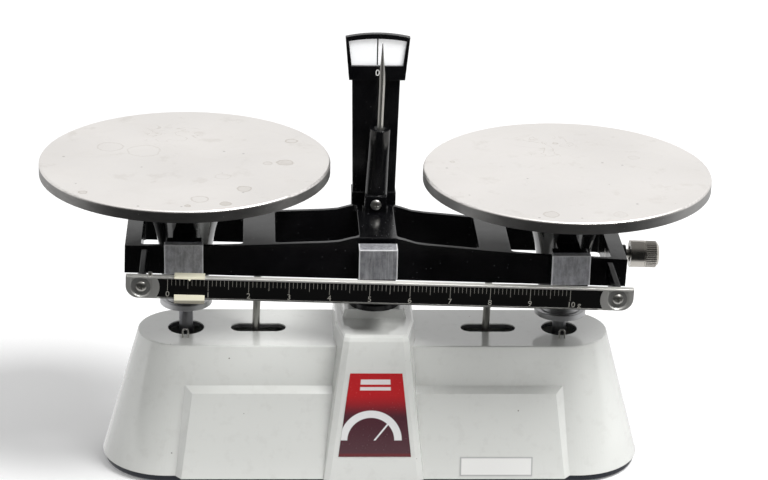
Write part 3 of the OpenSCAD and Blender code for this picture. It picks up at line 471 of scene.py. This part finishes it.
plastic = {"grain": (1500, 3, 0.6), "bump": (0.15, 0.06 * mm), "cloud": (90, 4, 0.6), "darkTone": 0.88,
           "roughCloud": 0.1, "rounding": 0.3 * mm,
           # tone, roughness, shine, glow, then the nodes
           "kinds": {"baseBoard": ((0.006, 0.010, 0.022), 0.4, 0.5, 0.0, ("bottom_plate",)),
                     "footRubber": ((0.02, 0.02, 0.02), 0.75, 0.5, 0.0,
                                    ("foot_front_left", "foot_front_right", "foot_rear_left",
                                     "foot_rear_right")),
                     # indexWhite is given a glow: painted light on the index plate
                     "indexWhite": ((0.97, 0.98, 0.99), 0.3, 0.5, 0.16, ("index_plate",)),
                     "stripBlack": ((0.004, 0.004, 0.004), 0.4, 0.15, 0.0, ("scale_strip",)),
                     "insertNylon": ((0.72, 0.70, 0.62), 0.45, 0.5, 0.0, ("knob_insert",))}}


def dullPlastic(name, tone, roughness, shine, glow):
    material, r = newMaterial(name)
    place = r.place()
    cloud = r.noise(place, *plastic["cloud"])
    worn = r.blend(cloud, times(tone, plastic["darkTone"]), tone)
    rough = roughness + cloud * plastic["roughCloud"]
    sockets = {"Base Color": worn, "Roughness": rough, "Specular IOR Level": shine, "Emission Color": worn,
               "Emission Strength": glow}
    finishMaterial(r, sockets, r.noise(place, *plastic["grain"]), plastic["bump"], plastic["rounding"])
    return material


cream = {"tone": (0.97, 0.93, 0.73), "darkTone": 0.92, "cloud": (160, 4, 0.6), "bump": (0.1, 0.05 * mm),
         "under": (0.22, 0.2, 0.15), "underShadeTop": 2.5 * mm, "underShadeShare": 0.9, "speck": (0.4, 0.36, 0.26),
         "specks": (700, 0.1, 0.15), "speckShare": 0.4, "roughness": 0.28, "roughCloud": 0.1,
         "rounding": 0.3 * mm}


def poiseEnamel():  # its slanting underside is painted dark, as painted shade
    material, r = newMaterial("poiseEnamel")
    place = r.place()
    z = r.axes(place)[2]
    cloud = r.noise(place, *cream["cloud"])
    # painted shade: the slanting underside is darkened
    under = z.below(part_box("poise")[0].z + cream["underShadeTop"], 0.5 * mm)
    tone = r.blend(cloud, times(cream["tone"], cream["darkTone"]), cream["tone"])
    tone = r.blend(under * cream["underShadeShare"], tone, cream["under"])
    tone = r.blend(r.specks(place, *cream["specks"]) * cream["speckShare"], tone, cream["speck"])
    rough = cream["roughness"] + cloud * cream["roughCloud"]
    finishMaterial(r, {"Base Color": tone, "Roughness": rough}, cloud, cream["bump"], cream["rounding"])
    return material


agate = {"grain": (200, 200, 700), "detail": 5, "rough": 0.6, "warp": 1.5, "roughness": 0.12,
         "bands": [(0.3, (0.22, 0.09, 0.05)), (0.5, (0.42, 0.22, 0.13)), (0.7, (0.6, 0.42, 0.3))]}


def agateStone():
    material, r = newMaterial("agateStone")
    along = r.stretch(r.place(), agate["grain"])
    bands = r.noise(along, 1, agate["detail"], agate["rough"], agate["warp"])
    tone = r.node("ValToRGB", {"stops": agate["bands"]}, {"Fac": bands})
    finishMaterial(r, {"Base Color": tone, "Roughness": agate["roughness"]})
    return material


# redFrom, footHigh, dialHeight and bars are shares of the label's height, from its foot
badge = {"red": (0.5, 0.01, 0.014), "foot": (0.13, 0.008, 0.012), "maroon": (0.075, 0.018, 0.028),
         "line": (0.8, 0.8, 0.8), "redFrom": (0.62, 0.16), "footHigh": 0.04, "soft": 0.004,
         "halfFoot": 19.5 * mm, "halfLoss": 5.8 * mm, "tall": 46 * mm,
         "dialX": -2 * mm, "dialHeight": 0.2, "arcIn": 12.5 * mm, "arcOut": 16.5 * mm,
         "bars": ((0.87, 0.93), (0.80, 0.84)), "barReach": 0.55, "barEnd": 0.02, "barShare": 0.9,
         "needleSteep": 0.9, "needleLean": 32 * mm, "needleHalf": 0.5 * mm,
         "wear": (900, 3), "roughness": 0.22, "roughWear": 0.08, "coat": 0.3}


def badgeFilm():
    material, r = newMaterial("badgeFilm")
    low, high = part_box("name_label")
    place = r.stretch(r.shift(r.place(), (0, 0, -low.z)), (1, 1, 1 / (high.z - low.z)))
    x, y, z = r.axes(place)
    soft = badge["soft"]
    ground = r.blend(z.above(*badge["redFrom"]), badge["maroon"], badge["red"])
    ground = r.blend(z.below(badge["footHigh"], soft), ground, badge["foot"])
    over = z - badge["dialHeight"]
    reach = away(x - badge["dialX"], over * badge["tall"])
    dial = z.above(badge["dialHeight"], soft)
    arc = reach.between(badge["arcIn"], badge["arcOut"], crisp) * dial
    bars = sum(z.between(*ends, soft) for ends in badge["bars"])
    across = x / (badge["halfFoot"] - z * badge["halfLoss"])
    bars = bars * across.between(-badge["barReach"], badge["barReach"], badge["barEnd"])
    needle = (x * badge["needleSteep"] - over * badge["needleLean"]).size().below(badge["needleHalf"], crisp)
    needle = needle * reach.below(badge["arcIn"], crisp) * dial
    tone = r.blend((arc + bars * badge["barShare"] + needle).capped(), ground, badge["line"])
    rough = badge["roughness"] + r.noise(r.place(), *badge["wear"]) * badge["roughWear"]
    finishMaterial(r, {"Base Color": tone, "Roughness": rough, "Coat Weight": badge["coat"]})
    return material


paper = {"edge": (0.45, 0.45, 0.45), "inside": (0.84, 0.84, 0.82), "inset": 0.7 * mm,
         "worn": (0.7, 0.7, 0.66), "wornShare": 0.12, "fibre": (1200, 4, 0.6), "bump": (0.1, 0.04 * mm),
         "roughness": 0.55}


def paperLabel():
    material, r = newMaterial("paperLabel")
    low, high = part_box("serial_label")
    place = r.place()
    x, y, z = r.axes(place)
    inset = paper["inset"]
    fibre = r.noise(place, *paper["fibre"])
    inside = x.between(low.x + inset, high.x - inset, crisp / 2)
    inside = inside * z.between(low.z + inset, high.z - inset, crisp / 2)
    tone = r.blend(inside, paper["edge"], paper["inside"])
    tone = r.blend(fibre * paper["wornShare"], tone, paper["worn"])
    finishMaterial(r, {"Base Color": tone, "Roughness": paper["roughness"]}, fibre, paper["bump"])
    return material


ink = {"scale": (0.32, 0.31, 0.275), "dark": (0.01, 0.01, 0.01), "pale": (0.85, 0.85, 0.83),
       "wear": (1400, 4, 0.7), "wornTone": 0.7, "roughness": 0.5}


def printedPaint(name, tone):
    material, r = newMaterial(name)
    worn = r.noise(r.place(), *ink["wear"])
    colour = r.blend(worn, times(tone, ink["wornTone"]), tone)
    finishMaterial(r, {"Base Color": colour, "Roughness": ink["roughness"]})
    return material


dress(paintedCasting(), "housing")
dress(blackEnamel("blackEnamel", enamel["satin"]), "support", "index_column", "index_frame", "beam",
      "pointer_post")
dress(blackEnamel("hangerEnamel", enamel["glossy"]), "hanger_left", "hanger_right")
dress(panSteel("panSteelLeft", "plate_left", pan["left"]), "plate_left")
dress(panSteel("panSteelRight", "plate_right", pan["right"]), "plate_right")
dress(hangerFoot("footLeft", "post_left"), "post_left")
dress(hangerFoot("footRight", "post_right"), "post_right")
dress(barSteel(), "scale_bar")
dress(poiseEnamel(), "poise")
dress(badgeFilm(), "name_label")
dress(paperLabel(), "serial_label")
dress(agateStone(), "bearing_centre_front", "bearing_centre_rear", "bearing_left_front", "bearing_left_rear",
      "bearing_right_front", "bearing_right_rear")
for coverNode, coverLevel in coverSheet["levels"].items():
    dress(coverSteel(coverNode + "Steel", coverNode, coverLevel), coverNode)
for kindName, (*kindLook, kindNodes) in steel["kinds"].items():
    dress(plainSteel(kindName, *kindLook), *kindNodes)
for kindName, (*kindLook, kindNodes) in plastic["kinds"].items():
    dress(dullPlastic(kindName, *kindLook), *kindNodes)
print("finishes done")


# printed marks

upright = Matrix.Rotation(math.pi / 2, 4, "X")


def addMesh(name, points, faces, material, body):
    mesh = bpy.data.meshes.new(name)
    mesh.from_pydata(points, [], faces)
    mesh.update()
    item = bpy.data.objects.new(name, mesh)
    bpy.context.scene.collection.objects.link(item)
    mesh.materials.append(material)
    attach(item, body)


def block(points, faces, low, high, matrix):
    start = len(points)
    for i in range(8):
        corner = Vector([(low, high)[i >> axis & 1][axis] for axis in range(3)])
        points.append(matrix @ corner)
    for face in ((0, 2, 3, 1), (4, 5, 7, 6), (0, 1, 5, 4), (2, 6, 7, 3), (0, 4, 6, 2), (1, 3, 7, 5)):
        faces.append([start + i for i in face])


def numeral(name, text, size, matrix, material, body, deep):
    curve = bpy.data.curves.new(name, "FONT")
    curve.body = text
    curve.size = size / 0.72  # the built-in face is 0.72 of its size tall
    curve.align_x = "CENTER"
    curve.extrude = deep
    holder = bpy.data.objects.new(name + "Curve", curve)
    bpy.context.scene.collection.objects.link(holder)
    bpy.context.view_layer.update()
    mesh = bpy.data.meshes.new_from_object(holder)
    bpy.data.objects.remove(holder)
    mesh.transform(matrix)
    mesh.materials.clear()
    mesh.materials.append(material)
    item = bpy.data.objects.new(name, mesh)
    bpy.context.scene.collection.objects.link(item)
    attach(item, body)


scaleMarks = {"zero": -108.2 * mm, "pitch": 20.57 * mm, "grams": 10, "top": 4.6 * mm, "digitBase": -4.9 * mm,
              "minor": (3.4 * mm, 0.16 * mm), "half": (5.0 * mm, 0.18 * mm), "full": (6.2 * mm, 0.24 * mm),
              "digit": 3.0 * mm, "lastShift": 2.2 * mm, "proud": 0.03 * mm}


def addScaleMarks():
    values = scaleMarks
    paint = printedPaint("scalePaint", ink["scale"])
    proud, grams = values["proud"], values["grams"]
    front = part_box("scale_strip")[0].y - proud
    points, faces = [], []
    for tenth in range(grams * 10 + 1):
        kind = "full" if tenth % 10 == 0 else "half" if tenth % 5 == 0 else "minor"
        tall, wide = values[kind]
        x = values["zero"] + values["pitch"] * tenth / 10
        block(points, faces, (x - wide / 2, front, values["top"] - tall),
              (x + wide / 2, front + 2 * proud, values["top"]), beamPlace)
    addMesh("scaleTicks", points, faces, paint, "beam")
    for gram in range(grams + 1):
        last = gram == grams
        x = values["zero"] + values["pitch"] * gram + (values["lastShift"] if last else 0)
        where = beamPlace @ Matrix.Translation((x, front, values["digitBase"])) @ upright
        text = "%d g" % gram if last else str(gram)
        numeral("scaleDigit%d" % gram, text, values["digit"], where, paint, "beam", proud)


indexMarks = {"line": 0.65 * mm, "deep": 0.05 * mm, "under": 0.3 * mm, "over": 0.4 * mm, "digit": 3.5 * mm,
              "digitDrop": 5.2 * mm, "digitShift": 0.2 * mm, "digitProud": 0.03 * mm}


def addIndexMarks():
    values = indexMarks
    low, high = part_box("index_plate")
    dark = printedPaint("indexBlack", ink["dark"])
    pale = printedPaint("indexPale", ink["pale"])
    points, faces = [], []
    half, deep = values["line"] / 2, values["deep"]
    middle = (low.x + high.x) / 2
    block(points, faces, (middle - half, low.y - deep, low.z + values["under"]),
          (middle + half, low.y + deep, high.z - values["over"]), Matrix())
    addMesh("indexLine", points, faces, dark, "base")
    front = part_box("index_frame")[0].y - values["digitProud"]
    where = Matrix.Translation((middle + values["digitShift"], front, low.z - values["digitDrop"])) @ upright
    numeral("indexZero", "0", values["digit"], where, pale, "base", deep)


addScaleMarks()
addIndexMarks()
print("marks done")


# floor, light and camera

# what the camera sees of the floor is brighter than what lights the object, and fades to white
floorPaper = {"half": 9.0, "level": 0.6, "seenLevel": 0.9,
              "glow": 0.15, "whiteGlow": 0.85, "whiteFrom": 1.0, "whiteSoft": 0.35,
              "mirrorFrom": -0.13, "mirrorSoft": 0.06,
              "fibre": (40, 3), "fibreShare": 0.02, "fibreTone": (0.5, 0.5, 0.5)}
studio = {"dim": 0.015, "mirror": 0.86, "world": 0.5, "skyTilt": 0.9, "skyEdge": (0.12, 0.3),
          "aim": (0, 0, 80 * mm),
          # each lamp's direction, distance, width and brightness
          "lamps": {"keyLight": ((0.45, -0.35, 1.0), 1.6, 0.7, 1.06),
                    "topLight": ((0.15, 0.1, 1.0), 1.6, 1.2, 0.08)}}


def mirrorLevel(share):  # how bright metal and gloss see the studio
    return studio["dim"] + share * (studio["mirror"] - studio["dim"])


def addFloor():
    values = floorPaper
    half = values["half"]
    mesh = bpy.data.meshes.new("floor")
    corners = [(-half, -half, 0), (half, -half, 0), (half, half, 0), (-half, half, 0)]
    mesh.from_pydata(corners, [], [(0, 1, 2, 3)])
    floor = bpy.data.objects.new("floor", mesh)
    bpy.context.scene.collection.objects.link(floor)
    material, r = newMaterial("paperFloor")
    camera, glossy = r.rays()
    x, y, z = r.axes(r.place())
    level = values["level"] + camera * (values["seenLevel"] - values["level"])
    fibre = r.noise(r.place(), *values["fibre"]) * values["fibreShare"]
    diffuse = r.node("BsdfDiffuse", inputs={"Color": r.blend(fibre, r.grey(level), values["fibreTone"])})
    far = away(x, y).above(values["whiteFrom"], values["whiteSoft"])
    glow = r.node("Emission", inputs={"Strength": camera * (values["glow"] + far * values["whiteGlow"])})
    seen = r.node("AddShader", inputs={0: diffuse, 1: glow})
    behind = y.above(values["mirrorFrom"], values["mirrorSoft"])
    mirrored = r.node("Emission", inputs={"Strength": mirrorLevel(behind)})
    both = r.node("MixShader", inputs={0: glossy, 1: seen, 2: mirrored})
    r.node("OutputMaterial", inputs={"Surface": both})
    mesh.materials.append(material)


def addWorld():
    world = bpy.data.worlds.new("studio")
    bpy.context.scene.world = world
    world.use_nodes = True
    r = Recipe(world.node_tree)
    camera, glossy = r.rays()
    x, y, z = r.axes(r.node("TexCoord", out=0))
    bright = (y + z * studio["skyTilt"]).above(*studio["skyEdge"])
    level = camera + glossy * mirrorLevel(bright) + (1 - camera - glossy) * studio["world"]
    sky = r.node("Background", inputs={"Color": (1, 1, 1, 1), "Strength": level})
    r.node("OutputWorld", inputs={"Surface": sky})


def addLamp(name, aim, far, size, level):  # level: how bright a white card facing the lamp gets
    lamp = bpy.data.lights.new(name, "AREA")
    lamp.shape = "DISK"
    lamp.size = size
    lamp.energy = level * (math.pi * far) ** 2
    item = bpy.data.objects.new(name, lamp)
    bpy.context.scene.collection.objects.link(item)
    direction = Vector(aim).normalized()
    item.location = Vector(studio["aim"]) + direction * far
    item.rotation_euler = direction.to_track_quat("Z", "Y").to_euler()


view = {"place": (-64.05 * mm, -1273.27 * mm, 637.87 * mm), "yaw": 3.09, "pitch": 21.84, "roll": 1.38,
        "lens": 120.93, "sensor": 36.0, "nearest": 50 * mm}


def addCamera():
    yaw, pitch, roll = (math.radians(view[key]) for key in ("yaw", "pitch", "roll"))
    forward = Vector((math.sin(yaw) * math.cos(pitch), math.cos(yaw) * math.cos(pitch), -math.sin(pitch)))
    right = Vector((math.cos(yaw), -math.sin(yaw), 0))
    up = right.cross(forward)
    turnedRight = right * math.cos(roll) + up * math.sin(roll)
    turnedUp = up * math.cos(roll) - right * math.sin(roll)
    camera = bpy.data.cameras.new("camera")
    camera.lens = view["lens"]
    camera.sensor_width = view["sensor"]
    camera.clip_start = view["nearest"]
    item = bpy.data.objects.new("camera", camera)
    turn = Matrix((turnedRight, turnedUp, -forward)).transposed()
    item.matrix_world = Matrix.Translation(view["place"]) @ turn.to_4x4()
    bpy.context.scene.collection.objects.link(item)
    bpy.context.scene.camera = item


addFloor()
addWorld()
for lampName, lampValues in studio["lamps"].items():
    addLamp(lampName, *lampValues)
addCamera()
bpy.context.scene.view_settings.view_transform = "Standard"
print("stage done")
